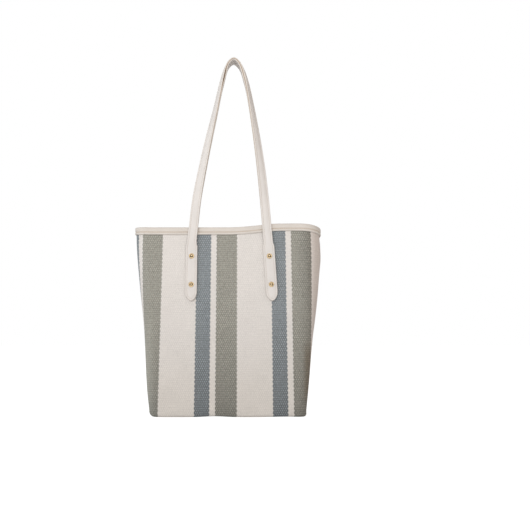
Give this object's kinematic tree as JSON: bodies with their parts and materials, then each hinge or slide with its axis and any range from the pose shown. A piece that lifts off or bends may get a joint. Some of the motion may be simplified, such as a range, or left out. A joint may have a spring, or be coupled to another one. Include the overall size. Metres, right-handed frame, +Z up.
{
  "type": "canvas tote bag",
  "caption": "Standing canvas tote bag with a boxed base, bound rim and two riveted strap handles that fold outwards.",
  "frame": {"origin": "middle of the base, on the surface that the bag stands on", "axes": "+Z up to the handles, -Y out of the front panel, +X to the bag's right as seen from the front"},
  "size_m": [0.27, 0.125, 0.5184],
  "materials": {
    "canvas": "coarse woven stripes in cream, sage green and grey blue",
    "lining": "plain woven cotton",
    "strap_leather": "cream coated leather, fine grain, satin",
    "binding_leather": "cream coated leather, fine grain, satin",
    "brass": "polished",
    "board": "stiff board",
    "patch": "stiffened cloth"
  },
  "bodies": {
    "bag": {"front_panel": "canvas", "back_panel": "canvas", "front_lining": "lining", "back_lining": "lining", "base_board": "board", "rim_binding": "binding_leather", "front_tab_left": "strap_leather", "front_tab_right": "strap_leather", "back_tab_left": "strap_leather", "back_tab_right": "strap_leather", "front_patch_left": "patch", "front_patch_right": "patch", "back_patch_left": "patch", "back_patch_right": "patch", "front_rivet_left_upper": "brass", "front_rivet_left_lower": "brass", "front_rivet_right_upper": "brass", "front_rivet_right_lower": "brass", "back_rivet_left_upper": "brass", "back_rivet_left_lower": "brass", "back_rivet_right_upper": "brass", "back_rivet_right_lower": "brass", "front_rivet_backing_left_upper": "brass", "front_rivet_backing_left_lower": "brass", "front_rivet_backing_right_upper": "brass", "front_rivet_backing_right_lower": "brass", "back_rivet_backing_left_upper": "brass", "back_rivet_backing_left_lower": "brass", "back_rivet_backing_right_upper": "brass", "back_rivet_backing_right_lower": "brass"},
    "front_handle": {"front_handle": "strap_leather"},
    "back_handle": {"back_handle": "strap_leather"}
  },
  "joints": [
    {"name": "front_handle_fold", "type": "hinge", "parent": "bag", "child": "front_handle", "pos_m": [0.0039, -0.0538, 0.2414], "axis": [1, 0, 0], "range_deg": [0, 155]},
    {"name": "back_handle_fold", "type": "hinge", "parent": "bag", "child": "back_handle", "pos_m": [0.0039, 0.0538, 0.2414], "axis": [-1, 0, 0], "range_deg": [0, 155]}
  ]
}
